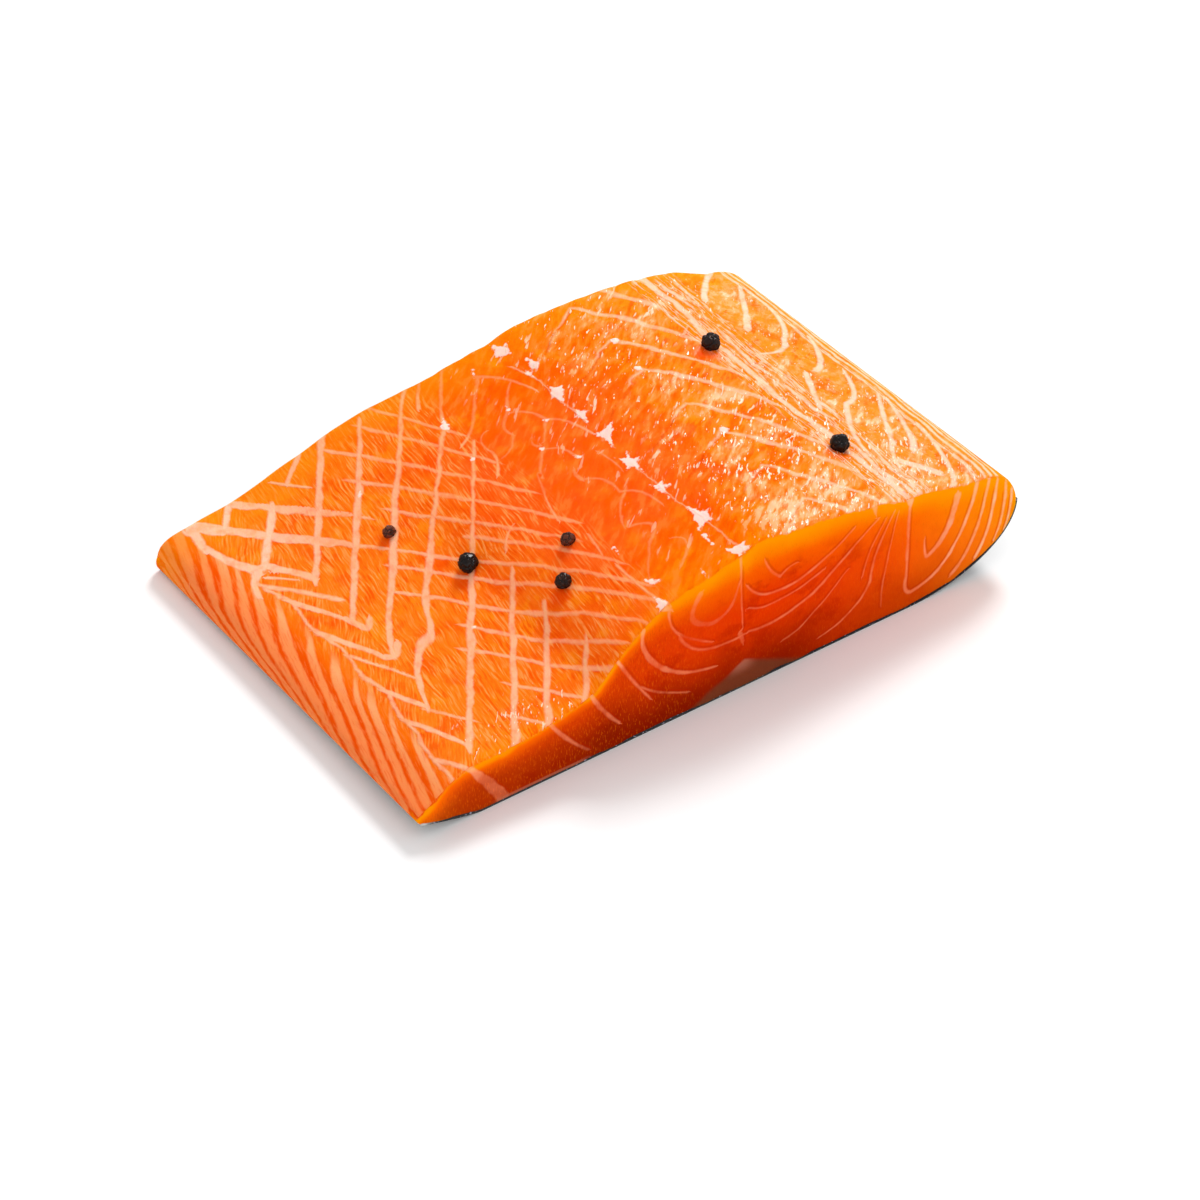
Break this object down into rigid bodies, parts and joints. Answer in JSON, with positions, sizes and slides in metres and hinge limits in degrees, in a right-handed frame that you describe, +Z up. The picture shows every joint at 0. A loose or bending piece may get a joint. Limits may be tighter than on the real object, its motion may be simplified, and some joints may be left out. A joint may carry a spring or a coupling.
{
  "type": "salmon fillet",
  "caption": "Thick centre cut of raw salmon fillet lying skin side down, with a tapered belly flap, a high rounded loin, thin skin beneath and whole peppercorns on top.",
  "frame": {"origin": "middle of the footprint, on the plane that the skin rests on", "axes": "+X across the fish from the belly edge to the back, +Y along the fish from the thick cut to the thinner cut, +Z up"},
  "size_m": [0.196, 0.124, 0.0427],
  "materials": {
    "flesh": "moist raw salmon flesh, satin to wet, with pale fat lines",
    "skin": "wet fish skin, dark grey to silver, fine scales"
  },
  "bodies": {
    "root": {"flesh": "flesh", "skin": "skin"}
  },
  "joints": []
}
